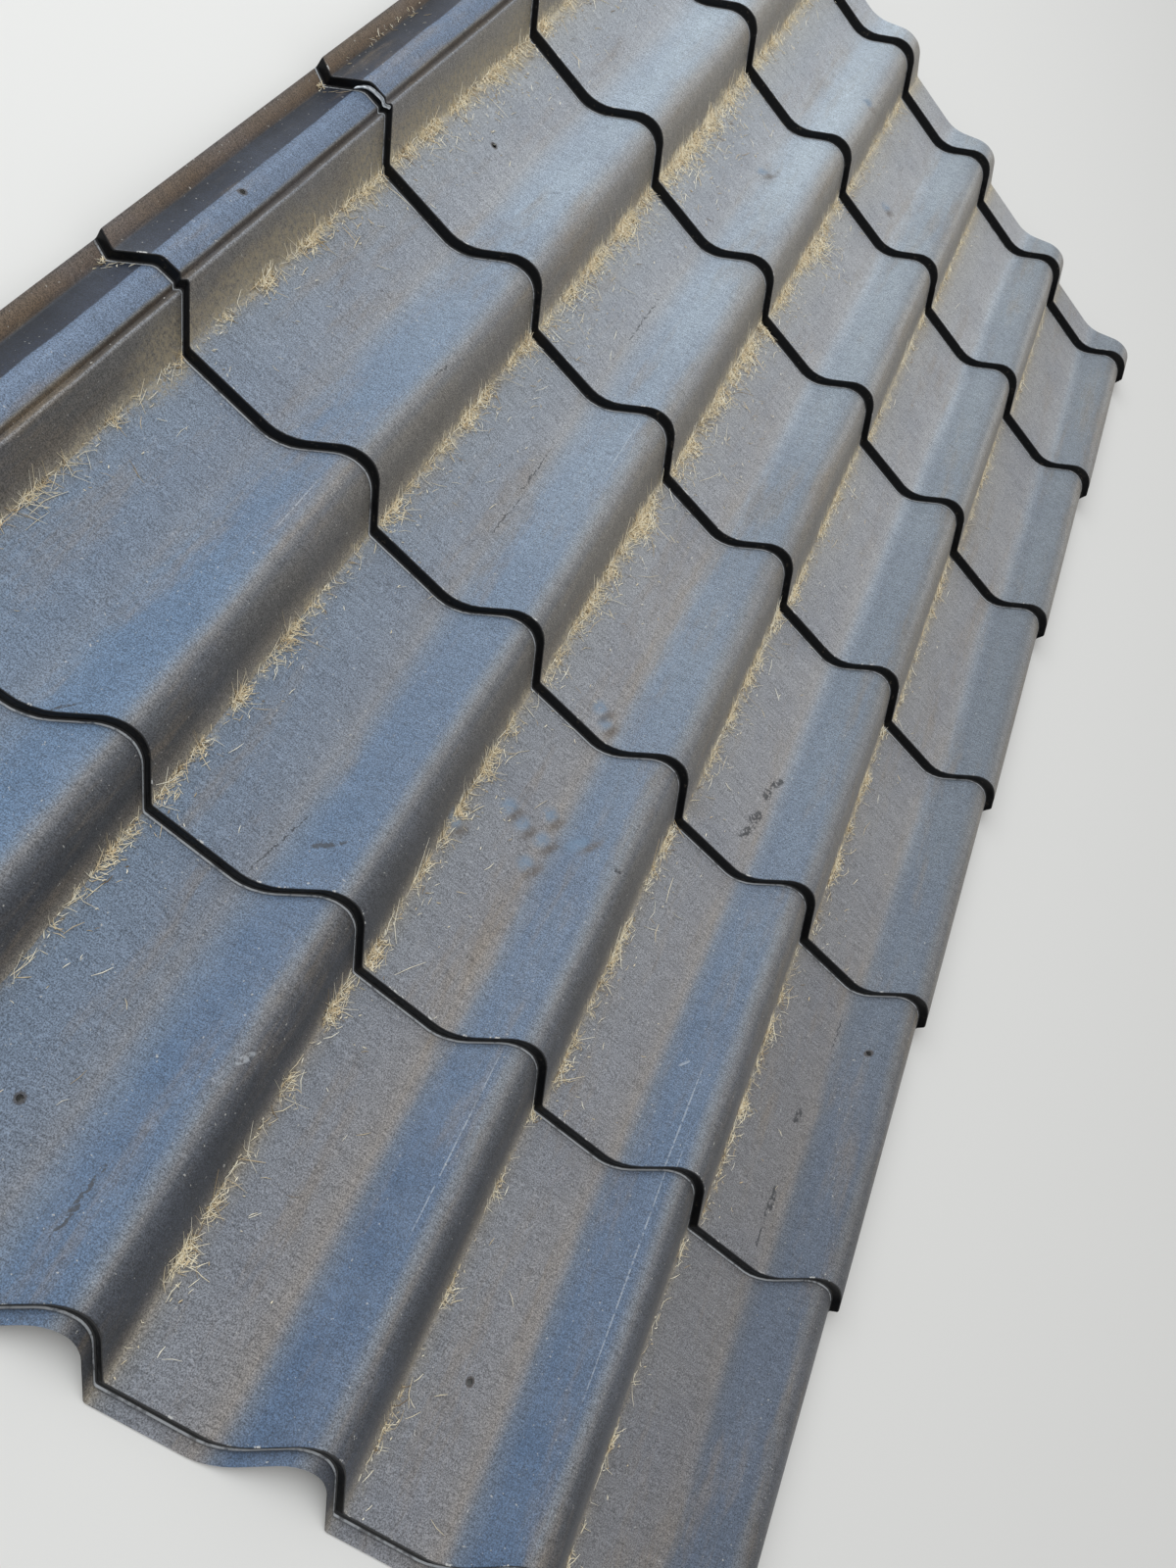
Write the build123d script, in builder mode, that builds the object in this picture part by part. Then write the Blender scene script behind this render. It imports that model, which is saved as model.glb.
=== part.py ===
from build123d import *
from math import atan2, cos, hypot, sin, tan
import os

# A roofing sheet pressed from one piece of coated steel, lying level on the backs of its pans.
# X runs across the ribs, from the underlap edge on the left to the overlap edge on the right.
# Y runs up the slope, from the eaves end to the upper end, and Z points up.

# Sheet
sheet_thickness = 0.5

# Waves, across the sheet
wave_count = 5
wave_pitch = 220
wave_height = 31
rise_run = 50            # from the flat of the pan up to the crown
flank_run = 34           # from the crown down to the next pan, the steep side
crown_flat = 4.8         # between the two shoulders of the crown
pan_radius = 50          # hollow where the pan turns up into the rise
rise_radius = 34         # shoulder between rise and crown
flank_radius = 25        # shoulder between crown and flank
foot_radius = 4          # tight corner at the foot of the flank

# Courses, up the slope
course_count = 6
course_length = 350
step_height = 14
step_setback = 29        # how far a step lies further up the slope on a crown than in a pan
eaves_lip = 15           # strip below the lowest step
upper_strip = 65         # strip above the highest step

# Underlap edge, left of the first pan
edge_crown_radius = 11
groove_width = 7         # groove in the crown that drains the lap
groove_depth = 3
groove_radius = 1.2
groove_flat = 0.6        # between the groove and the shoulder beside it
groove_shoulder_radius = 3.2
underlap_run = 30        # from the crown down to the gutter
underlap_drop = 19.5
gutter_radius = 3
lip_run = 17             # turned-up lip outside the gutter
lip_rise = 4.5

# Overlap edge, right of the last crown
overlap_drop = 16

# Screw holes, measured from the foot of a flank and from the step below
hole_diameter = 5.5
pan_hole_offset = 57
eaves_hole_waves = (1, 3)
eaves_hole_distance = 125
upper_hole_course = 3
upper_hole_distance = 157
rise_hole_course = 1
rise_hole_offset = 137
rise_hole_distance = 286
crown_hole_course = 2
crown_hole_offset = 1        # from the start of the first crown
crown_hole_distance = 152


# Dependent sizes, along the slope
upper_end = course_count * course_length + upper_strip
slope_fall = step_height / course_length
slope_stretch = hypot(1, slope_fall)
crown_setback = step_setback / wave_height        # per height
crown_rise = 1 - slope_fall * crown_setback
step_stretch = hypot(crown_setback, crown_rise)   # heights as drawn in the leaning plane of a step line


def corner_reach(radius, run, rise):
    """How far a rounded corner reaches along each of its sides, a level one and a slope."""
    return radius * tan(atan2(rise * step_stretch, run) / 2)


# Dependent sizes, across
crown_width = (
    corner_reach(rise_radius, rise_run, wave_height)
    + crown_flat
    + corner_reach(flank_radius, flank_run, wave_height)
)
pan_width = wave_pitch - rise_run - crown_width - flank_run
crown_start = pan_width + rise_run
crown_end = crown_start + crown_width
last_wave = (wave_count - 1) * wave_pitch
first_crown = crown_start - wave_pitch
first_crown_end = crown_end - wave_pitch
left_edge = first_crown - underlap_run - lip_run
right_edge = last_wave + crown_end + overlap_drop * flank_run / wave_height
lip_overhang = sheet_thickness * lip_rise / hypot(lip_run, lip_rise)

# Place of the first foot and the lowest step, from the middle of the sheet and the floor
pan_z = sheet_thickness * crown_rise
eaves_overhang = sheet_thickness * crown_setback
foot_x = -(left_edge - lip_overhang + right_edge) / 2
step_y = (eaves_lip + eaves_overhang - upper_end) / 2

# Corners of the upper face from left to right, each with its bend radius
groove_end = (
    first_crown_end
    - corner_reach(groove_shoulder_radius, flank_run, wave_height)
    - groove_flat
    - corner_reach(groove_radius, groove_width / 2, groove_depth)
)
corners = [
    (left_edge, wave_height - underlap_drop + lip_rise, 0),
    (first_crown - underlap_run, wave_height - underlap_drop, gutter_radius),
    (first_crown, wave_height, edge_crown_radius),
    (groove_end - groove_width, wave_height, groove_radius),
    (groove_end - groove_width / 2, wave_height - groove_depth, groove_radius),
    (groove_end, wave_height, groove_radius),
    (first_crown_end, wave_height, groove_shoulder_radius),
]
for wave in range(wave_count):
    foot = wave * wave_pitch
    corners.append((foot, 0, foot_radius))
    corners.append((foot + pan_width, 0, pan_radius))
    corners.append((foot + crown_start, wave_height, rise_radius))
    corners.append((foot + crown_end, wave_height, flank_radius))
corners.append((right_edge, wave_height - overlap_drop, 0))
face_points = [(x, z) for x, z, radius in corners]

# Corners of the back, one sheet thickness under the face
turns = [atan2(z2 - z1, x2 - x1) for (x1, z1), (x2, z2) in zip(face_points, face_points[1:])]
back_points = []
back_radii = []
for (x, z, radius), turn_in, turn_out in zip(corners, turns[:1] + turns, turns + turns[-1:]):
    away = sheet_thickness / cos((turn_out - turn_in) / 2)
    middle = (turn_in + turn_out) / 2
    back_points.append((x + away * sin(middle), z - away * cos(middle)))
    inside = turn_out < turn_in
    back_radii.append(radius - sheet_thickness if inside else radius + sheet_thickness)

# Thin section of the sheet along a step line
with BuildLine() as face_line:
    FilletPolyline(
        [(x, z * step_stretch) for x, z in face_points],
        radius=[radius for x, z, radius in corners[1:-1]],
    )
with BuildLine() as back_line:
    FilletPolyline([(x, z * step_stretch) for x, z in back_points], radius=back_radii[1:-1])
with BuildSketch() as step_section:
    with BuildLine():
        add(face_line.line)
        add(back_line.line)
        Line(face_line.line @ 0, back_line.line @ 0)
        Line(face_line.line @ 1, back_line.line @ 1)
    make_face()


def step_plane(y, z):
    """Plane of a step line, leaning back so that the line lies further up the slope on the crowns."""
    return Plane(origin=(0, y, z), x_dir=(1, 0, 0), z_dir=(0, -crown_rise, crown_setback))


def press_strip(plane, length):
    """A strip of the waves that falls along the slope, from a step line on this plane."""
    with BuildPart() as strip:
        with BuildSketch(plane):
            add(step_section.sketch)
        extrude(amount=length * slope_stretch, dir=(0, 1, -slope_fall))
    return strip.part


def press_course(length):
    """A step and the strip above it, which falls towards the foot of the next step."""
    with BuildPart() as course:
        add(press_strip(step_plane(0, step_height), length))
        with BuildSketch(step_plane(0, 0)):
            add(step_section.sketch)
        extrude(amount=step_height, dir=(0, 0, 1))
    return course.part


with BuildPart() as upper_course:
    add(press_course(upper_strip + 2))
    split(bisect_by=Plane.XZ.offset(-upper_strip), keep=Keep.TOP)

with BuildPart() as tile_sheet:
    with Locations([(foot_x, step_y + number * course_length, pan_z) for number in range(course_count)]):
        add(press_course(course_length))
    with Locations((foot_x, step_y + course_count * course_length, pan_z)):
        add(upper_course.part)

    # Strip below the lowest step
    with Locations((foot_x, step_y, pan_z)):
        add(press_strip(step_plane(-eaves_lip, eaves_lip * slope_fall), eaves_lip))

    # Screw holes, drilled square to the floor
    hole_places = [(wave * wave_pitch + pan_hole_offset, eaves_hole_distance) for wave in eaves_hole_waves]
    hole_places.append((pan_hole_offset, upper_hole_course * course_length + upper_hole_distance))
    hole_places.append((last_wave + rise_hole_offset, rise_hole_course * course_length + rise_hole_distance))
    crown_hole_y = crown_hole_course * course_length + crown_hole_distance
    hole_places.append((first_crown + crown_hole_offset, crown_hole_y))
    with BuildSketch():
        with Locations([(foot_x + x, step_y + y) for x, y in hole_places]):
            Circle(hole_diameter / 2)
    extrude(amount=pan_z + step_height + wave_height, mode=Mode.SUBTRACT)

tile_sheet.part.label = "tile_sheet"
os.makedirs("parts", exist_ok=True)
export_step(tile_sheet.part, "parts/tile_sheet.step")
print("volume", tile_sheet.part.volume, tile_sheet.part.bounding_box())
print("solids", len(tile_sheet.part.solids()), "faces", len(tile_sheet.part.faces()))
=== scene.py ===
import math

import bmesh
import bpy
import numpy as np
from mathutils import Matrix, Vector


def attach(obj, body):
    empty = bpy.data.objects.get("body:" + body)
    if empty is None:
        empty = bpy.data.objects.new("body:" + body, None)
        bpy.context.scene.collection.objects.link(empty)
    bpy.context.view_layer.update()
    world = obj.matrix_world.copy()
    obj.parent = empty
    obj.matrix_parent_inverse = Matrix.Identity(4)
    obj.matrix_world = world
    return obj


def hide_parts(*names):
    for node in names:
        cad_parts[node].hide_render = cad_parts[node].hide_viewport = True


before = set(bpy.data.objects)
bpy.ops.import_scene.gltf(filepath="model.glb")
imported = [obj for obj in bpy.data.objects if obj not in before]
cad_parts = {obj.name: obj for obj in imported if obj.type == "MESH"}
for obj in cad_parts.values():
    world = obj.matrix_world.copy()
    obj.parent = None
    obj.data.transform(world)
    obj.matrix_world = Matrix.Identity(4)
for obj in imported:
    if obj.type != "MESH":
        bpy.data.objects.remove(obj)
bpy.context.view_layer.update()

mm = 0.001
close = 2e-5                     # metres within which two places are one

# The sheet's own sizes in millimetres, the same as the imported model's
sheet = {
    "thickness": 0.5,
    "waveCount": 5,
    "wavePitch": 220,
    "waveHeight": 31,
    "riseRun": 50,
    "flankRun": 34,
    "crownFlat": 4.8,
    "panRadius": 50,
    "riseRadius": 34,
    "flankRadius": 25,
    "footRadius": 4,
    "courseCount": 6,
    "courseLength": 350,
    "stepHeight": 14,
    "stepSetback": 29,           # how far a step lies further up the slope on a crown
    "eavesLip": 15,
    "upperStrip": 65,
    "gutterX": -92.954,          # foot of the turned-up lip, from the first flank's foot
    "gutterHeight": 11.5,
    "gutterRadius": 3,
    "lipRun": 17,
    "lipRise": 4.5,
    "edgeCrownRadius": 11,
    "grooveWidth": 7,
    "grooveDepth": 3,
    "grooveRadius": 1.2,
    "grooveFlat": 0.6,           # between the groove and the shoulder beside it
    "shoulderRadius": 3.2,
    "overlapDrop": 16,
    "overlapTrim": 0.32,         # off that drop, so that the thickened steps stay in the frame's box
    "creaseRadius": 2.4,         # roundness of the pressed steps
    "creaseSegments": 3,
    "bendDegrees": 9,            # turn of one segment of a bend along the ribs
    "tightRadius": 3,            # a bend under this has two segments
    "flatPiece": 11,             # widest piece of a flat, across
    "coursePieces": 14,          # pieces of a course, up the slope
    "upperPieces": 3,
    "cutRoom": 1.5,              # what is cut off again at the upper end
    "footX": -486.733,           # first flank's foot in the frame
    "stepY": -1074.766,          # lowest step
    "panZ": 0.4813,
}

# Round bumps knocked up from the back
dents = {
    "finerShare": 1.5,           # how far the finer faces reach, in radii
    "finerMargin": 6,
    "cuts": 4,
    # place across and up the slope, radius and rise, in millimetres
    "places": [
        (488, 572, 11, 3.4),
        (509, 567, 12, 3.6),
        (531, 596, 14, 3.6),
        (536, 567, 14, 4.0),
        (532, 535, 12, 3.8),
        (568, 576, 14, 2.2),
        (446, 517, 17, 4.2),
        (517, 731, 12, 3.2),
        (530, 720, 10, 3.4),
        (327, 1612, 13, 3.6),
        (514, 1824, 12, 3.2),
        (390, 1886, 11, -2.2),
    ],
}

# Screw holes, with their places from the first foot and the lowest step
holes = {
    "radius": 2.75,
    "sides": 24,
    "drillLength": 120,
    "drillZ": 20,
    "places": [(277, 125), (717, 125), (57, 1207), (1017, 636), (-61.954, 852)],
}


def startPiece():
    if bpy.context.object and bpy.context.object.mode != "OBJECT":
        bpy.ops.object.mode_set(mode="OBJECT")
    bpy.ops.object.select_all(action="DESELECT")


def choose(piece):
    startPiece()
    piece.select_set(True)
    bpy.context.view_layer.objects.active = piece


def openEdit(piece):
    choose(piece)
    bpy.ops.object.mode_set(mode="EDIT")


def pick(piece, kind, test):
    # selects the vertices, edges or faces that pass the test, and nothing else
    bpy.ops.mesh.select_mode(type=kind)
    bpy.ops.mesh.select_all(action="DESELECT")
    cage = bmesh.from_edit_mesh(piece.data)
    items = {"VERT": cage.verts, "EDGE": cage.edges, "FACE": cage.faces}[kind]
    found = 0
    for item in items:
        if test(item):
            item.select_set(True)
            found += 1
    cage.select_flush_mode()
    bmesh.update_edit_mesh(piece.data)
    return found


def moveBy(x, y, z):
    bpy.ops.transform.translate(value=(x * mm, y * mm, z * mm))


def pullOut(x, y, z):
    bpy.ops.mesh.extrude_region_move(TRANSFORM_OT_translate={"value": (x * mm, y * mm, z * mm)})


def useModifier(piece, kind, **values):
    choose(piece)
    modifier = piece.modifiers.new(kind.title(), kind)
    for key, value in values.items():
        setattr(modifier, key, value)
    bpy.ops.object.modifier_apply(modifier=modifier.name)


# Corners of the upper face from left to right: place across, height and bend radius,
# which is drawn in the leaning plane of a step line
s = sheet
waveHeight = s["waveHeight"]
fall = s["stepHeight"] / s["courseLength"]
stretch = math.hypot(s["stepSetback"], waveHeight - fall * s["stepSetback"]) / waveHeight


def reach(radius, run, rise):
    # how far a rounded corner reaches along its level side
    return radius * math.tan(math.atan2(rise * stretch, run) / 2)


crownWidth = (
    reach(s["riseRadius"], s["riseRun"], waveHeight)
    + s["crownFlat"]
    + reach(s["flankRadius"], s["flankRun"], waveHeight)
)
panWidth = s["wavePitch"] - s["riseRun"] - crownWidth - s["flankRun"]
firstCrownEnd = -s["flankRun"]
firstCrown = firstCrownEnd - crownWidth
grooveEnd = (
    firstCrownEnd
    - reach(s["shoulderRadius"], s["flankRun"], waveHeight)
    - s["grooveFlat"]
    - reach(s["grooveRadius"], s["grooveWidth"] / 2, s["grooveDepth"])
)
corners = [
    (s["gutterX"] - s["lipRun"], s["gutterHeight"] + s["lipRise"], 0),
    (s["gutterX"], s["gutterHeight"], s["gutterRadius"]),
    (firstCrown, waveHeight, s["edgeCrownRadius"]),
    (grooveEnd - s["grooveWidth"], waveHeight, s["grooveRadius"]),
    (grooveEnd - s["grooveWidth"] / 2, waveHeight - s["grooveDepth"], s["grooveRadius"]),
    (grooveEnd, waveHeight, s["grooveRadius"]),
    (firstCrownEnd, waveHeight, s["shoulderRadius"]),
]
for wave in range(s["waveCount"]):
    foot = wave * s["wavePitch"]
    corners.append((foot, 0, s["footRadius"]))
    corners.append((foot + panWidth, 0, s["panRadius"]))
    corners.append((foot + panWidth + s["riseRun"], waveHeight, s["riseRadius"]))
    corners.append((foot + panWidth + s["riseRun"] + crownWidth, waveHeight, s["flankRadius"]))
lastFlank = s["waveCount"] * s["wavePitch"] - s["flankRun"]
lastDrop = s["overlapDrop"] - s["overlapTrim"]
corners.append((lastFlank + lastDrop * s["flankRun"] / waveHeight, waveHeight - lastDrop, 0))


def setback(height):
    return height * s["stepSetback"] / waveHeight


def layLip():
    # strip for the turned-up lip, with its right edge dropped to the gutter
    startPiece()
    lipX = s["footX"] + s["gutterX"] - s["lipRun"] / 2
    lipY = s["stepY"] - s["eavesLip"] / 2
    bpy.ops.mesh.primitive_plane_add(
        size=s["eavesLip"] * mm,
        location=(lipX * mm, lipY * mm, (s["panZ"] + corners[0][1]) * mm),
    )
    piece = bpy.context.object
    piece.name = "tileSheet"
    piece.data.name = "tileSheet"
    piece.scale.x = s["lipRun"] / s["eavesLip"]
    bpy.ops.object.transform_apply(location=True, rotation=True, scale=True)
    openEdit(piece)
    rightX = (s["footX"] + s["gutterX"]) * mm
    pick(piece, "EDGE", lambda e: all(abs(v.co.x - rightX) < close for v in e.verts))
    moveBy(0, 0, -s["lipRise"])
    return piece


def bendSection(piece):
    # the section is pulled out to the right, corner by corner, then bent along the ribs
    for before, after in zip(corners[1:], corners[2:]):
        pullOut(after[0] - before[0], 0, after[1] - before[1])
    for left, corner, right in zip(corners, corners[1:], corners[2:]):
        slopeIn = math.atan2((corner[1] - left[1]) * stretch, corner[0] - left[0])
        slopeOut = math.atan2((right[1] - corner[1]) * stretch, right[0] - corner[0])
        turn = abs(slopeOut - slopeIn)
        cornerX = (s["footX"] + corner[0]) * mm
        pick(piece, "EDGE", lambda e: all(abs(v.co.x - cornerX) < close for v in e.verts))
        segments = max(3, round(math.degrees(turn) / s["bendDegrees"]))
        bpy.ops.mesh.bevel(
            offset=corner[2] * math.tan(turn / 2) * mm,
            segments=2 if corner[2] < s["tightRadius"] else segments,
            affect="EDGES",
            clamp_overlap=False,
        )


def divideFlats(piece):
    # narrower pieces in the flats
    cage = bmesh.from_edit_mesh(piece.data)
    pieceArea = s["eavesLip"] * s["flatPiece"] * mm * mm
    for count in sorted({math.ceil(face.calc_area() / pieceArea) for face in cage.faces}):
        if count < 2:
            continue

        def isWide(edge):
            across = abs(edge.verts[0].co.y - edge.verts[1].co.y) < close
            return across and math.ceil(edge.calc_length() / (s["flatPiece"] * mm)) == count

        pick(piece, "EDGE", isWide)
        bpy.ops.mesh.subdivide(number_cuts=count - 1)


def tiltStrip(piece):
    # the strip below the lowest step falls with the slope; its front edge gives the step's line
    backY = s["stepY"] * mm
    drop = s["eavesLip"] * fall
    pick(piece, "EDGE", lambda e: all(abs(v.co.y - backY) < close for v in e.verts))
    moveBy(0, 0, -drop)
    pick(piece, "VERT", lambda v: True)
    moveBy(0, 0, drop)
    cage = bmesh.from_edit_mesh(piece.data)
    front = sorted((v.co.x, v.co.z) for v in cage.verts if v.co.y < backY - close)
    return np.array(front) - np.array([0, drop * mm])


def bowSteps(piece, profile):
    # every line along a rib is pushed up the slope by its height, so that the steps bow over the crowns
    for x, z in profile:
        shift = setback(z / mm - s["panZ"])
        pick(piece, "VERT", lambda v: abs(v.co.x - x) < close)
        moveBy(0, shift, -shift * fall)


def onStep(place, profile, stepY):
    # whether a point lies on the bowed line of the step at this distance
    height = float(np.interp(place.x, profile[:, 0], profile[:, 1])) / mm - s["panZ"]
    return abs(place.y - stepY - setback(height) * mm) < close


def raiseCourses(piece, profile):
    # steps and courses, one after another up the slope
    lowestStep = s["stepY"] * mm
    pick(piece, "EDGE", lambda e: all(onStep(v.co, profile, lowestStep) for v in e.verts))
    strips = [(s["courseLength"], s["coursePieces"])] * s["courseCount"]
    strips.append((s["upperStrip"] + s["cutRoom"], s["upperPieces"]))
    for length, pieces in strips:
        pullOut(0, 0, s["stepHeight"])
        for part in range(pieces):
            pullOut(0, length / pieces, -length / pieces * fall)


def roundCreases(piece, profile):
    # at the top and the foot of each step
    steps = [(s["stepY"] + course * s["courseLength"]) * mm for course in range(s["courseCount"] + 1)]

    def isCrease(edge):
        first, second = edge.verts
        if abs(first.co.x - second.co.x) < close:
            return False
        return any(onStep(first.co, profile, y) and onStep(second.co, profile, y) for y in steps)

    print("crease edges", pick(piece, "EDGE", isCrease))
    bpy.ops.mesh.bevel(
        offset=s["creaseRadius"] * mm,
        segments=s["creaseSegments"],
        affect="EDGES",
        clamp_overlap=False,
    )


def cutUpperEnd(piece):
    upperEnd = s["stepY"] + s["courseCount"] * s["courseLength"] + s["upperStrip"]
    pick(piece, "FACE", lambda f: True)
    bpy.ops.mesh.bisect(plane_co=(0, upperEnd * mm, 0), plane_no=(0, 1, 0), clear_outer=True)


def pressSheet():
    piece = layLip()
    bendSection(piece)
    divideFlats(piece)
    profile = tiltStrip(piece)
    bowSteps(piece, profile)
    raiseCourses(piece, profile)
    roundCreases(piece, profile)
    cutUpperEnd(piece)
    return piece, profile


def surface(across, along, profile):
    # points on the sheet's face, in millimetres, from places across and along it
    height = np.interp(across + s["footX"], profile[:, 0] / mm, profile[:, 1] / mm) - s["panZ"]
    up = along + setback(height)
    course = np.floor(along / s["courseLength"])
    raised = s["stepHeight"] - fall * (up - course * s["courseLength"])
    z = height + s["panZ"] + np.where(course < 0, -fall * up, raised)
    return np.stack((across + s["footX"], up + s["stepY"], z), axis=-1)


def knockDents(piece, profile):
    # finer faces round each bump, then a soft push from the back
    openEdit(piece)
    bumps = []
    for x, y, radius, rise in dents["places"]:
        place = surface(np.array([x]), np.array([y]), profile)[0] * mm
        bumps.append((Vector(place[:2]), radius * mm, rise))
    margin = dents["finerMargin"] * mm
    nearby = [(centre, radius * dents["finerShare"] + margin) for centre, radius, rise in bumps]

    def isBeside(face):
        middle = face.calc_center_median().xy
        return any((middle - centre).length < limit for centre, limit in nearby)

    print("faces round the dents", pick(piece, "FACE", isBeside))
    bpy.ops.mesh.subdivide(number_cuts=dents["cuts"])
    for centre, radius, rise in bumps:
        cage = bmesh.from_edit_mesh(piece.data)
        top = min(cage.verts, key=lambda v: (v.co.xy - centre).length).co.xy.copy()
        pick(piece, "VERT", lambda v: (v.co.xy - top).length < close)
        bpy.ops.transform.translate(
            value=(0, 0, rise * mm),
            use_proportional_edit=True,
            proportional_edit_falloff="SMOOTH",
            proportional_size=radius,
        )
    startPiece()


def drillHoles(piece):
    cutters = []
    for x, y in holes["places"]:
        startPiece()
        bpy.ops.mesh.primitive_cylinder_add(
            radius=holes["radius"] * mm,
            depth=holes["drillLength"] * mm,
            vertices=holes["sides"],
            location=((s["footX"] + x) * mm, (s["stepY"] + y) * mm, holes["drillZ"] * mm),
        )
        cutters.append(bpy.context.object)
    startPiece()
    for cutter in cutters:
        cutter.select_set(True)
    bpy.context.view_layer.objects.active = cutters[0]
    bpy.ops.object.join()
    drill = bpy.context.object
    useModifier(piece, "BOOLEAN", operation="DIFFERENCE", object=drill, solver="EXACT")
    bpy.data.objects.remove(drill, do_unlink=True)


def layOut(piece, profile):
    # every point's place on the sheet as a UV map: across from the first foot, up from the lowest step's line
    mesh = piece.data
    points = np.empty(len(mesh.vertices) * 3)
    mesh.vertices.foreach_get("co", points)
    points = points.reshape(-1, 3)
    loopPoints = np.empty(len(mesh.loops), dtype=np.int32)
    mesh.loops.foreach_get("vertex_index", loopPoints)
    heights = np.interp(points[:, 0], profile[:, 0], profile[:, 1]) - s["panZ"] * mm
    across = points[:, 0] - s["footX"] * mm
    along = points[:, 1] - s["stepY"] * mm - setback(heights)
    layer = mesh.uv_layers.get("sheetPlace") or mesh.uv_layers.new(name="sheetPlace")
    layer.data.foreach_set("uv", np.column_stack((across, along))[loopPoints].ravel())


tileSheet, profile = pressSheet()
print("pressed", len(tileSheet.data.polygons), len(profile))
knockDents(tileSheet, profile)
print("dented", len(tileSheet.data.polygons))


def srgb(red, green, blue):
    linear = []
    for value in (red, green, blue):
        value = value / 255
        linear.append(value / 12.92 if value < 0.04045 else ((value + 0.055) / 1.055) ** 2.4)
    return (*linear, 1.0)


class Wiring:
    # adds nodes to one material in few words
    def __init__(self, name):
        self.material = bpy.data.materials.new(name)
        self.material.use_nodes = True
        self.tree = self.material.node_tree
        self.shader = self.tree.nodes["Principled BSDF"]
        self.count = 0
        self.place = self.add("ShaderNodeTexCoord").outputs["Object"]

    def add(self, kind, values=None, **settings):
        node = self.tree.nodes.new(kind)
        node.location = (-1400 + (self.count % 10) * 180, 400 - (self.count // 10) * 220)
        self.count += 1
        for key, value in settings.items():
            setattr(node, key, value)
        self.fill(node, values or {})
        return node

    def fill(self, node, values):
        for key, value in values.items():
            if isinstance(value, bpy.types.NodeSocket):
                self.tree.links.new(value, node.inputs[key])
            else:
                node.inputs[key].default_value = value

    def calc(self, operation, first, second=0.0, third=0.0):
        return self.add("ShaderNodeMath", {0: first, 1: second, 2: third}, operation=operation).outputs[0]

    def times(self, first, *others):
        for other in others:
            first = self.calc("MULTIPLY", first, other)
        return first

    def band(self, value, low, high, atLow=0.0, atHigh=1.0, kind="SMOOTHSTEP"):
        limits = {"Value": value, "From Min": low, "From Max": high, "To Min": atLow, "To Max": atHigh}
        return self.add("ShaderNodeMapRange", limits, interpolation_type=kind).outputs["Result"]

    def blend(self, factor, first, second, kind="MIX"):
        node = self.add("ShaderNodeMix", {0: factor, 6: first, 7: second}, data_type="RGBA", blend_type=kind)
        return node.outputs[2]

    def ramp(self, value, stops):
        node = self.add("ShaderNodeValToRGB", {0: value})
        elements = node.color_ramp.elements
        while len(elements) < len(stops):
            elements.new(0.5)
        for element, (place, colour) in zip(elements, stops):
            element.position = place
            element.color = srgb(*colour)
        return node.outputs[0]

    def noise(self, vector, scale, detail=2.0, roughness=0.5, output="Fac"):
        values = {"Vector": vector, "Scale": scale, "Detail": detail, "Roughness": roughness}
        return self.add("ShaderNodeTexNoise", values).outputs[output]

    def sway(self, value, noise, amount):
        # pushed to and fro by a noise
        return self.calc("MULTIPLY_ADD", self.calc("SUBTRACT", noise, 0.5), amount, value)

    def stretched(self, vector, scale):
        return self.add("ShaderNodeMapping", {"Vector": vector, "Scale": scale}).outputs["Vector"]

    def vectors(self, operation, first, second, third=(0, 0, 0)):
        return self.add("ShaderNodeVectorMath", {0: first, 1: second, 2: third}, operation=operation)

    def bump(self, height, strength, distance):
        values = {"Height": height, "Strength": strength, "Distance": distance}
        return self.add("ShaderNodeBump", values).outputs["Normal"]

    def finish(self, values):
        self.fill(self.shader, values)
        return self.material


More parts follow.
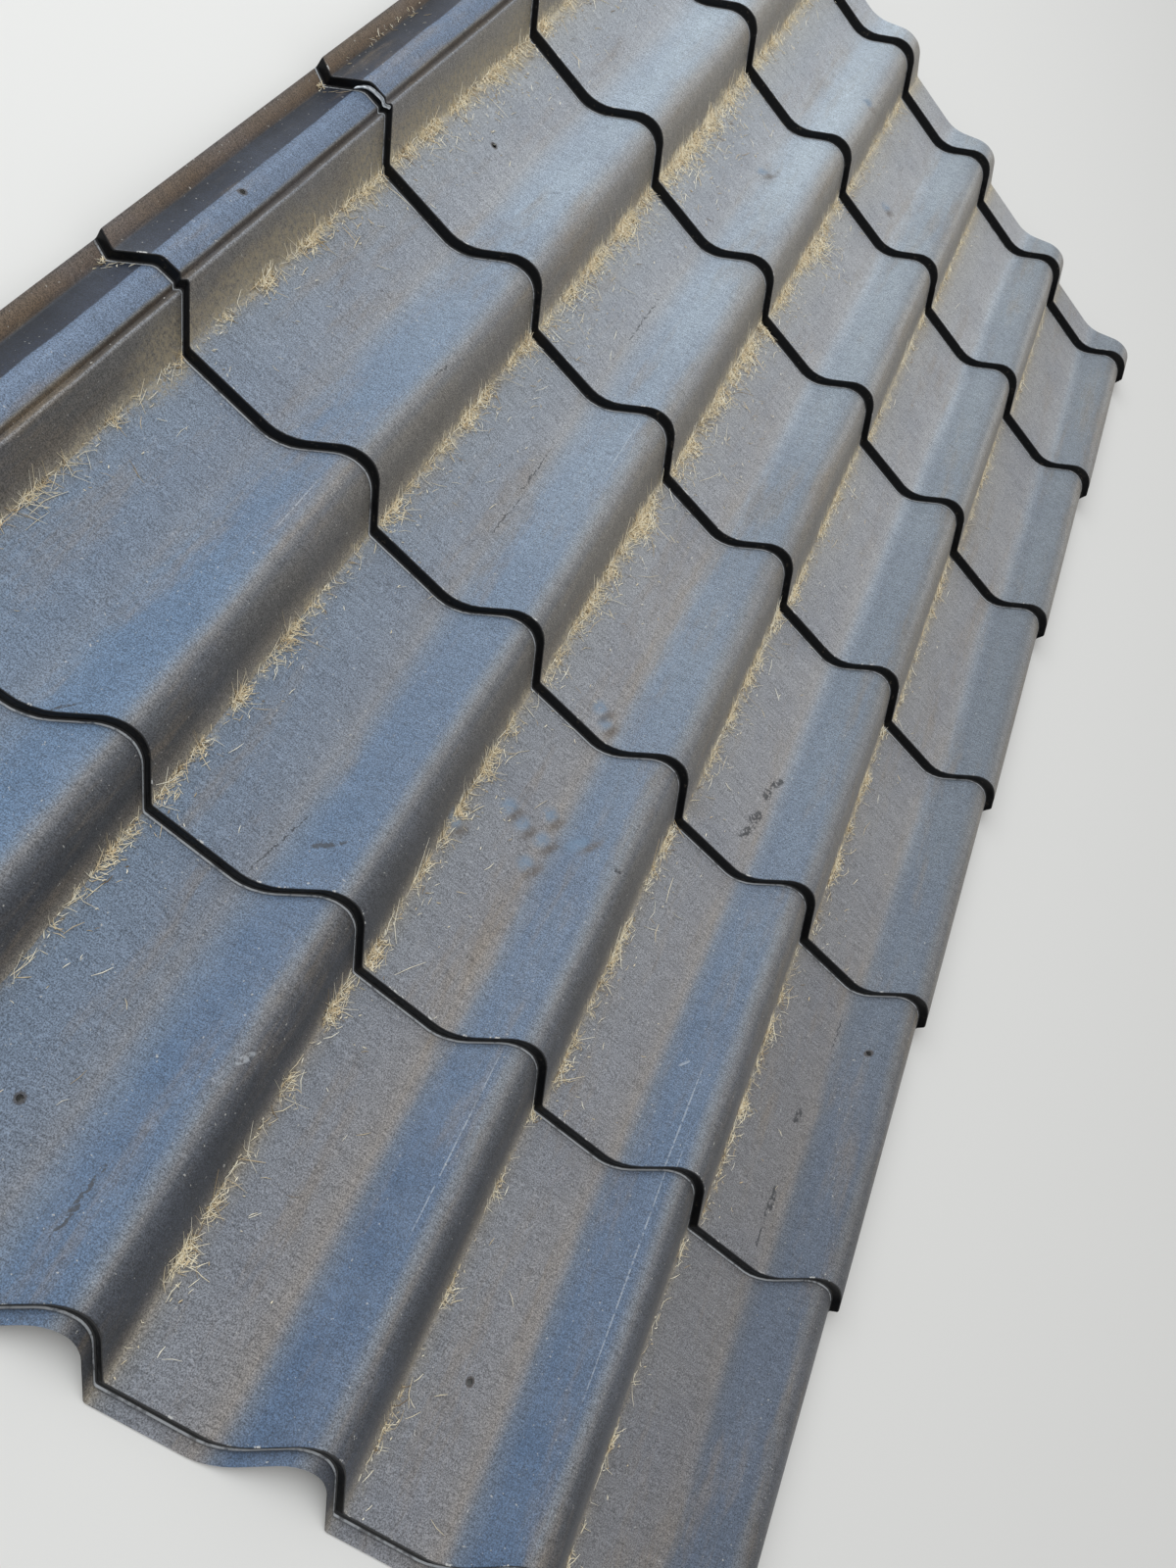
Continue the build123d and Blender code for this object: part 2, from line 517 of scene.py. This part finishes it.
coating = {
    # across a wave, from the foot of a flank to the next foot: share of the pitch and colour
    # the blue on the rises is painted sky reflection, the paler crown line a painted highlight and the dark
    # flanks painted shade; the tan at the feet is dust
    "lowColoursWithPaintedLight": [
        (0.000, (138, 132, 122)),
        (0.030, (124, 126, 128)),
        (0.080, (119, 125, 134)),
        (0.250, (121, 126, 135)),
        (0.360, (124, 126, 131)),
        (0.430, (129, 125, 122)),
        (0.490, (98, 108, 122)),
        (0.550, (74, 94, 120)),
        (0.630, (72, 92, 118)),
        (0.700, (84, 102, 126)),
        (0.740, (118, 124, 132)),
        (0.770, (112, 112, 114)),
        (0.800, (76, 79, 85)),
        (0.850, (54, 57, 63)),
        (0.920, (54, 56, 60)),
        (0.955, (86, 82, 78)),
        (1.000, (138, 132, 122)),
    ],
    # up the slope: paler all over, mostly painted sheen, with more dust at the feet
    "highColoursWithPaintedLight": [
        (0.000, (192, 182, 160)),
        (0.030, (174, 168, 154)),
        (0.080, (163, 164, 163)),
        (0.250, (160, 164, 169)),
        (0.360, (165, 168, 173)),
        (0.430, (168, 172, 177)),
        (0.530, (166, 176, 186)),
        (0.620, (172, 183, 192)),
        (0.700, (168, 178, 187)),
        (0.750, (160, 165, 169)),
        (0.790, (158, 157, 155)),
        (0.830, (148, 146, 142)),
        (0.880, (140, 137, 131)),
        (0.930, (132, 128, 120)),
        (0.965, (156, 148, 132)),
        (1.000, (192, 182, 160)),
    ],
    # from the outer lip to the first flank, with a painted dark reflection on the gutter slope and a painted
    # bluish sky reflection on the edge crown
    "edgeColoursWithReflections": [
        (0.000, (96, 88, 82)),
        (0.060, (106, 92, 78)),
        (0.150, (92, 76, 60)),
        (0.215, (62, 52, 44)),
        (0.235, (22, 27, 36)),
        (0.400, (24, 32, 46)),
        (0.515, (30, 38, 54)),
        (0.530, (92, 108, 130)),
        (0.640, (104, 120, 142)),
        (0.830, (100, 114, 134)),
        (0.868, (98, 96, 92)),
        (0.890, (58, 48, 38)),
        (0.930, (50, 42, 34)),
        (0.958, (84, 78, 72)),
        (0.975, (128, 130, 134)),
        (1.000, (116, 114, 112)),
    ],
    # tints of part of the sheet: colour, and where it fades in, by metres across or along
    # or by the share of the wave, with its strength at either end
    # most of these tints are painted light and shade
    "washes": [
        # darker towards the right edge, more so near the eaves
        ((84, 84, 86), [
            ("across", 0.8, 0.92),
            ("along", 0.9, 0.5, 0.25, 0.5),
        ]),
        # painted sky reflection: bluer pans and rises towards the left and the eaves
        ((88, 114, 142), [
            ("across", 0.5, 0.14, 0.0, 0.6),
            ("along", 1.2, 0.3, 0.1, 1.0),
            ("wave", 0.77, 0.72),
        ]),
        # warmer flanks and feet up the slope: dust, with painted warm light bounced from the ground
        ((128, 121, 110), [
            ("along", 0.3, 0.9, 0.0, 0.5),
            ("wave", 0.8, 0.84),
        ]),
        # painted shade: darker rises towards the right and up the slope
        ((66, 70, 76), [
            ("across", 0.3, 0.75),
            ("along", 0.4, 1.2, 0.0, 0.45),
            ("wave", 0.46, 0.56),
            ("wave", 0.8, 0.74),
        ]),
        # paler pans and feet towards the right
        ((142, 136, 132), [
            ("across", 0.3, 0.6, 0.0, 0.3),
            ("wave", 0.5, 0.44),
        ]),
    ],
    "patches": (98, 106, 122),
    "brownDust": (134, 118, 96),
    "flecks": (198, 196, 190),
    "chaffDust": (214, 200, 166),
    "footShade": (30, 31, 34),
    # painted highlight along the foot crease of each step
    "footHighlight": (188, 192, 196),
    # the step faces' dark coating, made near-black with painted shade
    "shadedRiser": (9, 10, 12),
    "riserDirt": (96, 88, 76),
    "chips": (196, 196, 194),
    # marks: colour, strength and softness, then place across and along, turn in degrees,
    # half length and half width of each
    "scrapes": ((48, 50, 54), 0.8, 0.2, [
        (312, 905, 90, 44, 0.8),
        (314, 830, 86, 34, 0.8),
        (310, 1212, 90, 58, 0.8),
        (170, 846, 84, 18, 0.8),
        (320, 392, 78, 36, 0.8),
        (352, 399, 20, 11, 3.2),
        (350, 76, 88, 30, 1.8),
        (124, 357, 40, 9, 1.6),
        (757, 834, 60, 12, 5.0),
        (751, 814, 80, 8, 5.5),
        (748, 776, 70, 12, 7.0),
        (744, 752, 60, 16, 4.0),
        (961, 420, 88, 20, 4.0),
        (960, 382, 90, 12, 1.4),
        (961, 520, 80, 10, 4.5),
        (606, 554, 0, 5, 3.6),
        (978, 636, 90, 30, 0.6),
    ]),
    # pale lines along the rises: the long ones are painted highlight streaks near the crown shoulders, the
    # short ones rubbed marks
    "rubsAndHighlights": ((196, 202, 208), 0.38, 0.2, [
        (800, 402, 90, 60, 0.7),
        (811, 250, 91, 130, 0.7),
        (590, 250, 90, 90, 0.6),
        (371, 980, 90, 60, 0.6),
        (391, 200, 60, 9, 3.0),
        (478, 497, 30, 5, 1.6),
        (784, 465, 40, 5, 1.6),
        (152, 620, 90, 40, 0.6),
    ]),
    # straw dust pressed into the corners of the first flank
    "dustHeaps": ((158, 146, 120), 0.75, 0.5, [
        (-6, 668, 90, 46, 21),
        (-6, 1016, 90, 52, 22),
        (-4, 1360, 90, 60, 22),
        (-10, 820, 90, 130, 13),
        (-10, 1180, 90, 150, 13),
    ]),
    # painted light on each dent: a bluish sky-lit side and a dark brown shaded side
    "dentSkyLitSide": ((104, 128, 152), 0.62, 0.7, [
        (x - 5, y + 1, 60, 9, 7) for x, y, radius, rise in dents["places"]
    ]),
    "dentShadedSide": ((92, 82, 72), 0.55, 0.7, [
        (x + 7, y - 2, 60, 11, 4.5) for x, y, radius, rise in dents["places"]
    ]),
    "rimColour": (62, 54, 48),
    "rimStrength": 0.75,
    "rimRadius": 4.6,
}


def stainedRims(profile):
    # marks round the screw holes, with the set-back of a step line taken off their places
    rims = []
    for x, y in holes["places"]:
        lift = float(np.interp((s["footX"] + x) * mm, profile[:, 0], profile[:, 1])) / mm - s["panZ"]
        rims.append((x, y - setback(lift), 0, coating["rimRadius"], coating["rimRadius"]))
    return (coating["rimColour"], coating["rimStrength"], 0.2, rims)


def spotSize(w, place, mark):
    # squared distance from the mark's middle, 1 at its rim; the place has a third coordinate of 1
    x, y, turn, length, width = mark
    cosine = math.cos(math.radians(turn))
    sine = math.sin(math.radians(turn))
    lengthwise = Vector((cosine, sine, -(x * cosine + y * sine) * mm)) / (length * mm)
    crosswise = Vector((-sine, cosine, (x * sine - y * cosine) * mm)) / (width * mm)
    first = w.vectors("DOT_PRODUCT", place, lengthwise).outputs["Value"]
    second = w.vectors("DOT_PRODUCT", place, crosswise).outputs["Value"]
    return w.calc("MULTIPLY_ADD", second, second, w.times(first, first))


def layMark(w, base, vector, mark, share=1.0):
    # soft-edged ellipses of one colour, each as strong as the share lets it be
    colour, strength, soft, spots = mark
    place = w.vectors("ADD", vector, (0, 0, 1)).outputs[0]
    nearest = spotSize(w, place, spots[0])
    for spot in spots[1:]:
        nearest = w.calc("MINIMUM", nearest, spotSize(w, place, spot))
    inside = w.band(w.calc("SQRT", nearest), 1.0 + soft, 1.0 - soft)
    return w.blend(w.times(inside, share, strength), base, srgb(*colour))


def layZones(w, across, along, streaks):
    # zones along the ribs, with painted sky reflection on the rises, a painted highlight at the crowns and
    # painted shade on the flanks; duller near the eaves and paler up the slope, mostly painted sheen with
    # more dust up the slope
    swayed = w.sway(across, w.noise(streaks, 14, 4, 0.6), 0.022)
    wavePlace = w.calc("FRACT", w.calc("DIVIDE", swayed, s["wavePitch"] * mm))
    weatherAndSheen = w.sway(along, w.noise(w.place, 3, 3), 0.5)
    low = w.ramp(wavePlace, coating["lowColoursWithPaintedLight"])
    high = w.ramp(wavePlace, coating["highColoursWithPaintedLight"])
    base = w.blend(w.band(weatherAndSheen, 0.0, 2.0), low, high)
    axes = {"across": across, "along": along, "wave": wavePlace}
    for colour, fades in coating["washes"]:
        share = w.times(*[w.band(axes[axis], *limits) for axis, *limits in fades])
        base = w.blend(share, base, srgb(*colour))
    return base


def layUnderlap(w, base, across, streaks):
    # the underlap edge has colours of its own and painted reflections, from the lip to the first flank
    edgeX = s["gutterX"] - s["lipRun"]
    swayed = w.sway(across, w.noise(streaks, 60, 3), 0.004)
    edgePlace = w.band(swayed, edgeX * mm, firstCrownEnd * mm, kind="LINEAR")
    isEdge = w.band(across, (firstCrownEnd + 1.5) * mm, (firstCrownEnd - 0.5) * mm)
    return w.blend(isEdge, base, w.ramp(edgePlace, coating["edgeColoursWithReflections"])), edgePlace


def layDirt(w, base, streaks):
    # broad patches, brown dust, cross ripples, grain and pale flecks
    patches = w.noise(w.place, 7, 4, 0.6)
    base = w.blend(w.band(patches, 0.42, 0.7, 0.0, 0.2), base, srgb(*coating["patches"]))
    brown = w.noise(streaks, 26, 5, 0.7)
    base = w.blend(w.band(brown, 0.5, 0.72, 0.0, 0.34), base, srgb(*coating["brownDust"]))
    ripples = w.noise(w.stretched(w.place, (0.12, 1.0, 0.3)), 430, 2, 0.6)
    base = w.blend(1.0, base, w.band(ripples, 0.3, 0.6, 0.84, 1.07), "MULTIPLY")
    grain = w.noise(w.place, 820, 3, 0.75)
    base = w.blend(1.0, base, w.band(grain, 0.3, 0.7, 0.35, 1.65), "MULTIPLY")
    flecks = w.noise(w.place, 300, 2, 0.5)
    base = w.blend(w.band(flecks, 0.7, 0.76, 0.0, 0.6), base, srgb(*coating["flecks"]))
    relief = w.calc("MULTIPLY_ADD", ripples, 0.8, grain)
    return base, relief


def layChaff(w, base, across, along):
    # pale chaff dust along the feet of the flanks, more of it up the slope
    pitch = s["wavePitch"] * mm
    footPlace = w.calc("PINGPONG", w.calc("ADD", across, 2 * pitch), pitch / 2)
    tufts = w.noise(w.stretched(w.place, (0.4, 1.0, 0.4)), 34, 4, 0.7)
    tufts = w.calc("MULTIPLY_ADD", tufts, 0.05, -0.0215)
    chaff = w.times(
        w.band(w.calc("SUBTRACT", footPlace, tufts), 0.002, -0.002),
        w.band(along, 0.0, 1.4, 0.08, 0.62),
        w.band(w.noise(w.place, 330, 4, 0.75), 0.44, 0.58),
    )
    return w.blend(chaff, base, srgb(*coating["chaffDust"]))


def layMarks(w, base, sheetPlace):
    # dust in corners, painted light and shade on the dents, rubbed lines and painted highlight streaks,
    # scrapes and screw holes, with ragged outlines where they are dirt
    shift = w.vectors("SUBTRACT", w.noise(sheetPlace, 90, 3, 0.65, "Color"), (0.5, 0.5, 0.5)).outputs[0]
    ragged = w.vectors("MULTIPLY_ADD", shift, (0.011, 0.011, 0.0), sheetPlace).outputs[0]
    dusty = w.band(w.noise(w.place, 240, 4, 0.75), 0.36, 0.62)
    dentLightBreakup = w.band(w.noise(w.place, 130, 3, 0.6), 0.3, 0.5)
    broken = w.noise(sheetPlace, 170, 3, 0.65)
    base = layMark(w, base, ragged, coating["dustHeaps"], dusty)
    base = layMark(w, base, sheetPlace, coating["dentSkyLitSide"], dentLightBreakup)
    base = layMark(w, base, sheetPlace, coating["dentShadedSide"], dentLightBreakup)
    base = layMark(w, base, sheetPlace, coating["rubsAndHighlights"], w.band(broken, 0.4, 0.52))
    base = layMark(w, base, ragged, coating["scrapes"], w.band(broken, 0.43, 0.5))
    return layMark(w, base, sheetPlace, stainedRims(profile))


def laySteps(w, base, along):
    # step faces with their dark coating and painted shade, their chipped crest, the painted highlight along
    # their foot and the painted shadow below it, by millimetres from the step
    coursePlace = w.calc("FRACT", w.calc("DIVIDE", along, s["courseLength"] * mm))
    aboveStep = w.times(coursePlace, s["courseLength"])
    belowStep = w.calc("SUBTRACT", s["courseLength"], aboveStep)
    wearAndHighlightNoise = w.noise(w.place, 70, 4, 0.7)
    base = w.blend(w.band(belowStep, 5.2, 4.0, 0.0, 0.55), base, srgb(*coating["footShade"]))
    footHighlightMask = w.times(w.band(belowStep, 3.9, 3.2), w.band(wearAndHighlightNoise, 0.38, 0.5, 0.2, 0.9))
    base = w.blend(footHighlightMask, base, srgb(*coating["footHighlight"]))
    shadedRiser = w.calc("MAXIMUM", w.band(aboveStep, 1.9, 0.9), w.band(belowStep, 2.2, 1.6))
    base = w.blend(shadedRiser, base, srgb(*coating["shadedRiser"]))
    nearCrest = w.times(w.band(aboveStep, 0.9, 1.5), w.band(aboveStep, 3.2, 2.2))
    chips = w.times(w.band(wearAndHighlightNoise, 0.58, 0.64), nearCrest)
    return w.blend(chips, base, srgb(*coating["chips"])), shadedRiser


def makeCoating():
    w = Wiring("coatedSteel")
    sheetPlace = w.add("ShaderNodeUVMap", uv_map="sheetPlace").outputs[0]
    axes = w.add("ShaderNodeSeparateXYZ", {0: sheetPlace})
    across = axes.outputs[0]
    along = axes.outputs[1]
    streaks = w.stretched(w.place, (1.0, 0.16, 1.0))
    base = layZones(w, across, along, streaks)
    base, edgePlace = layUnderlap(w, base, across, streaks)
    base, relief = layDirt(w, base, streaks)
    base = layChaff(w, base, across, along)
    base = layMarks(w, base, sheetPlace)
    base, shadedRiser = laySteps(w, base, along)

    # smoother in the dark stretch of the underlap edge, which is painted reflection, and at the steps
    darkReflectionStretch = w.times(w.band(edgePlace, 0.225, 0.245), w.band(edgePlace, 0.53, 0.515))
    rough = w.band(w.noise(w.place, 25, 4, 0.6), 0.3, 0.7, 0.46, 0.62)
    rough = w.calc("MULTIPLY_ADD", darkReflectionStretch, -0.14, rough)
    rough = w.calc("MULTIPLY_ADD", shadedRiser, -0.2, rough)
    return w.finish({
        "Base Color": base,
        "Roughness": rough,
        "Normal": w.bump(relief, 0.5, 0.0003),
        "Sheen Weight": 0.1,
        "Sheen Roughness": 0.5,
        "Specular IOR Level": 0.4,
    })


def makeStepFace():
    w = Wiring("stepFace")
    dirt = w.noise(w.place, 120, 4, 0.7)
    dirty = w.band(dirt, 0.6, 0.72, 0.0, 0.5)
    # near-black base: the step faces' dark coating with painted shade, with real dirt in flecks
    return w.finish({
        "Base Color": w.blend(dirty, srgb(*coating["shadedRiser"]), srgb(*coating["riserDirt"])),
        "Roughness": w.band(dirt, 0.35, 0.65, 0.28, 0.5),
        "Specular IOR Level": 0.2,
    })


def isStepFace(face):
    # steep and facing the eaves, which the front cut edge does too
    return face.normal.z < 0.62 and face.normal.y < -0.2


# The coating covers both sides and the other cut edges
useModifier(
    tileSheet,
    "SOLIDIFY",
    thickness=s["thickness"] * mm,
    offset=-1.0,
    use_rim=True,
    use_even_offset=True,
)
print("thickened", len(tileSheet.data.polygons))
for material in (makeCoating(), makeStepFace()):
    tileSheet.data.materials.append(material)
openEdit(tileSheet)
print("step faces", pick(tileSheet, "FACE", isStepFace))
tileSheet.active_material_index = 1
bpy.ops.object.material_slot_assign()
drillHoles(tileSheet)
layOut(tileSheet, profile)
choose(tileSheet)
bpy.ops.object.shade_smooth_by_angle(angle=math.radians(38))
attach(tileSheet, "root")
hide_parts("tile_sheet")
print("sheet", len(tileSheet.data.polygons), "faces")


# Straw and chaff that has washed down to the feet of the flanks, in millimetres
straw = {
    # blades per 10 mm of each foot, course by course from the eaves
    "amounts": [
        (10, 12, 20, 24, 20, 16),
        (12, 16, 26, 34, 40, 16),
        (15, 22, 32, 40, 28, 8),
        (6, 18, 20, 14, 6, 4),
        (4, 14, 16, 8, 4, 2),
    ],
    "tuftLength": 7.0,           # along the foot
    "spread": 1.9,               # out from the foot
    "looseShare": 0.08,
    "looseReach": 12,
    "looseLimit": 82,
    # thicker heaps: place across and along, blades, reach out and along, and how long the blades are
    "heaps": [
        (442, 972, 190, 7, 14, 1.9),
        (448, 1618, 170, 10, 22, 1.9),
        (224, 1560, 460, 15, 90, 1.0),
        (222, 1210, 260, 8, 100, 1.0),
        (444, 1330, 320, 9, 110, 1.1),
        (-2, 1290, 260, 14, 70, 0.5),
        (-2, 1640, 260, 14, 70, 0.5),
        (-96, 692, 26, 5, 5, 0.7),
        (-97, 1042, 24, 4, 5, 0.7),
        (-98, 1240, 60, 4, 90, 0.5),
    ],
    "length": 9.5,
    "shortest": 3,
    "longest": 46,
    "width": 0.68,
    "chaffShare": 0.4,
    "chaffLengths": (1.6, 5.0),
    "chaffWidth": 1.5,           # in straw widths
    "heading": 0.95,             # radians from straight across
    "headingSpread": 0.8,
    "bend": 0.3,
    "lift": 0.8,                 # typical height over the sheet
    "liftLimit": 3.2,
    "perPiece": 13000,
    "colours": [
        (0.0, (120, 98, 70)),
        (0.12, (220, 202, 168)),
        (0.3, (250, 240, 214)),
        (0.6, (255, 250, 232)),
        (0.85, (246, 232, 198)),
        (1.0, (214, 190, 152)),
    ],
    "stains": (170, 146, 110),
}


def clearOfSteps(along, start, below=4, above=5):
    return np.clip(along, start + below, start + s["courseLength"] - above)


def strawPlaces(rng):
    # place across and along, start of the course and size of each blade: tufts along each foot, then heaps
    places = []
    for foot, amounts in enumerate(straw["amounts"]):
        for course, amount in enumerate(amounts):
            start = course * s["courseLength"]
            end = start + s["courseLength"]
            count = round(amount * s["courseLength"] / 10)
            tufts = np.sort(rng.uniform(start + 6, end - 6, 10 + amount))
            sizes = rng.gamma(0.7, 1.0, len(tufts))
            chosen = rng.choice(len(tufts), size=count, p=sizes / sizes.sum())
            along = tufts[chosen] + rng.normal(0, straw["tuftLength"], count)
            loose = rng.random(count) < straw["looseShare"]
            along = np.where(loose, rng.uniform(start, end, count), along)
            out = rng.gamma(1.5, straw["spread"] * (1 + amount / 25), count) - 2.5
            looseOut = rng.exponential(straw["looseReach"] + amount / 2, count)
            out = np.where(loose, np.minimum(looseOut, straw["looseLimit"]), out)
            across = foot * s["wavePitch"] + out
            up = clearOfSteps(along, start)
            places.append(np.column_stack((across, up, np.full(count, start), np.ones(count))))
    for across, along, count, reachOut, reachAlong, size in straw["heaps"]:
        start = math.floor(along / s["courseLength"]) * s["courseLength"]
        out = across + rng.exponential(reachOut, count)
        up = clearOfSteps(rng.normal(along, reachAlong, count), start)
        places.append(np.column_stack((out, up, np.full(count, start), np.full(count, size))))
    return np.concatenate(places)


def layStraw(name, places, rng, profile):
    # closed three-sided blades, bent a little, all in one mesh
    count = len(places)
    chaff = rng.random(count) < straw["chaffShare"]
    length = rng.lognormal(math.log(straw["length"]), 0.55, count) * places[:, 3]
    length = np.clip(length, straw["shortest"], straw["longest"])
    length = np.where(chaff, rng.uniform(*straw["chaffLengths"], count), length)
    width = straw["width"] * rng.uniform(0.55, 1.25, count) * np.where(chaff, straw["chaffWidth"], 1.0)
    heading = rng.normal(straw["heading"], straw["headingSpread"], count)
    bend = rng.normal(0, straw["bend"], count)
    lift = 0.35 + np.minimum(rng.exponential(straw["lift"], count), straw["liftLimit"])
    tilt = rng.normal(0, 0.08, count) * np.where(chaff, 0.3, 1.0)
    rings = []
    for step in (-0.5, 0.0, 0.5):
        turn = heading + bend * step
        across = places[:, 0] + np.cos(turn) * length * step
        along = clearOfSteps(places[:, 1] + np.sin(turn) * length * step, places[:, 2], 3, 3)
        middle = surface(across, along, profile)
        middle[:, 2] += lift + np.abs(tilt * length * (step + 0.5))
        half = width / 2 * (1.0 if step == 0 else 0.45)
        side = np.stack((-np.sin(turn) * half, np.cos(turn) * half, np.zeros(count)), axis=-1)
        top = np.stack((np.zeros(count), np.zeros(count), half * 1.1), axis=-1)
        rings += [middle - side - top / 2, middle + side - top / 2, middle + top]
    points = np.stack(rings, axis=1).reshape(-1, 3) * mm
    sides = []
    for ring in (0, 3):
        for corner in range(3):
            after = (corner + 1) % 3
            sides.append((ring + corner, ring + 3 + corner, ring + 3 + after, ring + after))
    firstPoints = 9 * np.arange(count)[:, None, None]
    quads = (np.array(sides)[None] + firstPoints).reshape(-1, 4)
    ends = (np.array([(0, 1, 2), (8, 7, 6)])[None] + firstPoints).reshape(-1, 3)
    mesh = bpy.data.meshes.new(name)
    mesh.from_pydata(points.tolist(), [], quads.tolist() + ends.tolist())
    giveTones(mesh, rng.random(count))
    piece = bpy.data.objects.new(name, mesh)
    bpy.context.scene.collection.objects.link(piece)
    return piece


def giveTones(mesh, tones):
    # one tone for each blade of nine points, as a UV map
    owners = np.empty(len(mesh.loops), dtype=np.int32)
    mesh.loops.foreach_get("vertex_index", owners)
    shade = tones[owners // 9]
    mesh.uv_layers.new(name="strawTone").data.foreach_set("uv", np.column_stack((shade, shade)).ravel())


def makeStraw():
    w = Wiring("straw")
    tones = w.add("ShaderNodeUVMap", uv_map="strawTone").outputs[0]
    base = w.ramp(w.add("ShaderNodeSeparateXYZ", {0: tones}).outputs[0], straw["colours"])
    stained = w.band(w.noise(w.place, 160, 3, 0.6), 0.5, 0.75, 0.0, 0.3)
    base = w.blend(stained, base, srgb(*straw["stains"]))
    return w.finish({"Base Color": base, "Roughness": 0.75, "Specular IOR Level": 0.3})


rng = np.random.default_rng(41)
blades = strawPlaces(rng)
strawCoat = makeStraw()
for number, start in enumerate(range(0, len(blades), straw["perPiece"])):
    piece = layStraw(f"straw{number + 1}", blades[start:start + straw["perPiece"]], rng, profile)
    piece.data.materials.append(strawCoat)
    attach(piece, "root")
print("straw", len(blades), "blades")


# Strip torn loose from the crest of a step on the underlap crown, in millimetres
flap = {
    "course": 3,
    "from": -70,                 # place across, from the first flank's foot
    "to": -34,
    "width": 4.4,
    "thickness": 0.4,
    "columns": 16,
    "curl": 9.0,                 # how far its tip stands off the step
    "colours": [(0.35, (150, 156, 162)), (0.5, (206, 212, 218)), (0.68, (96, 100, 106))],
}


def makeTornSteel():
    w = Wiring("tornSteel")
    scuffs = w.noise(w.stretched(w.place, (0.4, 1.0, 1.0)), 260, 4, 0.7)
    return w.finish({"Base Color": w.ramp(scuffs, flap["colours"]), "Roughness": 0.38, "Metallic": 0.35})


def makeFlap(profile):
    # an upright strip, pushed column by column onto the bowed step and curled away from it at its tip
    startPiece()
    middle = (flap["from"] + flap["to"]) / 2
    length = flap["to"] - flap["from"]
    bpy.ops.mesh.primitive_grid_add(
        x_subdivisions=flap["columns"],
        y_subdivisions=3,
        size=mm,
        location=((s["footX"] + middle) * mm, 0, 0),
        rotation=(math.pi / 2, 0, 0),
    )
    piece = bpy.context.object
    piece.name = "tornStrip"
    piece.data.name = "tornStrip"
    piece.scale = (length, flap["width"], 1)
    bpy.ops.object.transform_apply(location=True, rotation=True, scale=True)
    openEdit(piece)
    cage = bmesh.from_edit_mesh(piece.data)
    stepLine = np.array([flap["course"] * s["courseLength"] + 0.001])
    for x in sorted({round(v.co.x, 7) for v in cage.verts}):
        across = x / mm - s["footX"]
        share = (flap["to"] - across) / length
        crest = surface(np.array([across]), stepLine, profile)[0]
        pick(piece, "VERT", lambda v: abs(v.co.x - x) < close)
        hang = flap["width"] / 2 + 1.0 + 1.6 * share ** 3
        moveBy(0, crest[1] - 1.0 - flap["curl"] * share ** 4, crest[2] - hang)
        pick(piece, "VERT", lambda v: abs(v.co.x - x) < close and v.co.z < (crest[2] - 4.2) * mm)
        moveBy(0, -1.5 - 2.0 * share ** 2, 0.6 + 1.8 * share ** 4)
    useModifier(piece, "SOLIDIFY", thickness=flap["thickness"] * mm, offset=0.0, use_even_offset=True)
    useModifier(piece, "SUBSURF", levels=1)
    piece.data.materials.append(makeTornSteel())
    choose(piece)
    bpy.ops.object.shade_smooth_by_angle(angle=math.radians(50))
    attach(piece, "root")
    return piece


print("torn strip", len(makeFlap(profile).data.polygons), "faces")


# Floor, light and camera, in metres
setting = {
    "floorColour": (226, 225, 222),
    "floorSize": 24,
    "floorZ": -0.0003,
    "worldLevel": 0.54,
    "lampPlace": (-3.7, 0.4, 4.0),
    "lampSize": 4.5,
    "lampPower": 236,
    "lampColour": (0.93, 0.97, 1.0),
    "cameraPlace": (-0.3718, -1.05964, 0.93139),
    "right": (0.68373, 0.41135, 0.60275),
    "down": (0.63616, -0.74065, -0.21617),
    "forward": (0.3575, 0.53125, -0.76809),
    "lens": 26.9,
}


def makeFloor():
    startPiece()
    bpy.ops.mesh.primitive_plane_add(size=setting["floorSize"], location=(0, 0, setting["floorZ"]))
    floor = bpy.context.object
    floor.name = "floor"
    paint = Wiring("floorPaint").finish({"Base Color": srgb(*setting["floorColour"]), "Roughness": 0.8})
    floor.data.materials.append(paint)


def makeLamp():
    data = bpy.data.lights.new("skySide", "AREA")
    data.size = setting["lampSize"]
    data.energy = setting["lampPower"]
    data.color = setting["lampColour"]
    lamp = bpy.data.objects.new("skySide", data)
    bpy.context.scene.collection.objects.link(lamp)
    lamp.location = setting["lampPlace"]
    lamp.rotation_euler = (-lamp.location).to_track_quat("-Z", "Y").to_euler()


def makeWorld():
    world = bpy.data.worlds.new("studio")
    world.use_nodes = True
    background = world.node_tree.nodes["Background"]
    background.inputs[0].default_value = (1.0, 1.0, 1.0, 1.0)
    background.inputs[1].default_value = setting["worldLevel"]
    bpy.context.scene.world = world
    bpy.context.scene.view_settings.view_transform = "Standard"


def makeCamera():
    data = bpy.data.cameras.new("camera")
    data.lens = setting["lens"]
    data.sensor_width = 36
    data.clip_start = 0.01
    camera = bpy.data.objects.new("camera", data)
    bpy.context.scene.collection.objects.link(camera)
    turn = Matrix((setting["right"], -Vector(setting["down"]), -Vector(setting["forward"])))
    camera.matrix_world = Matrix.Translation(setting["cameraPlace"]) @ turn.transposed().to_4x4()
    bpy.context.scene.camera = camera


makeFloor()
makeLamp()
makeWorld()
makeCamera()
print("floor, light and camera made")
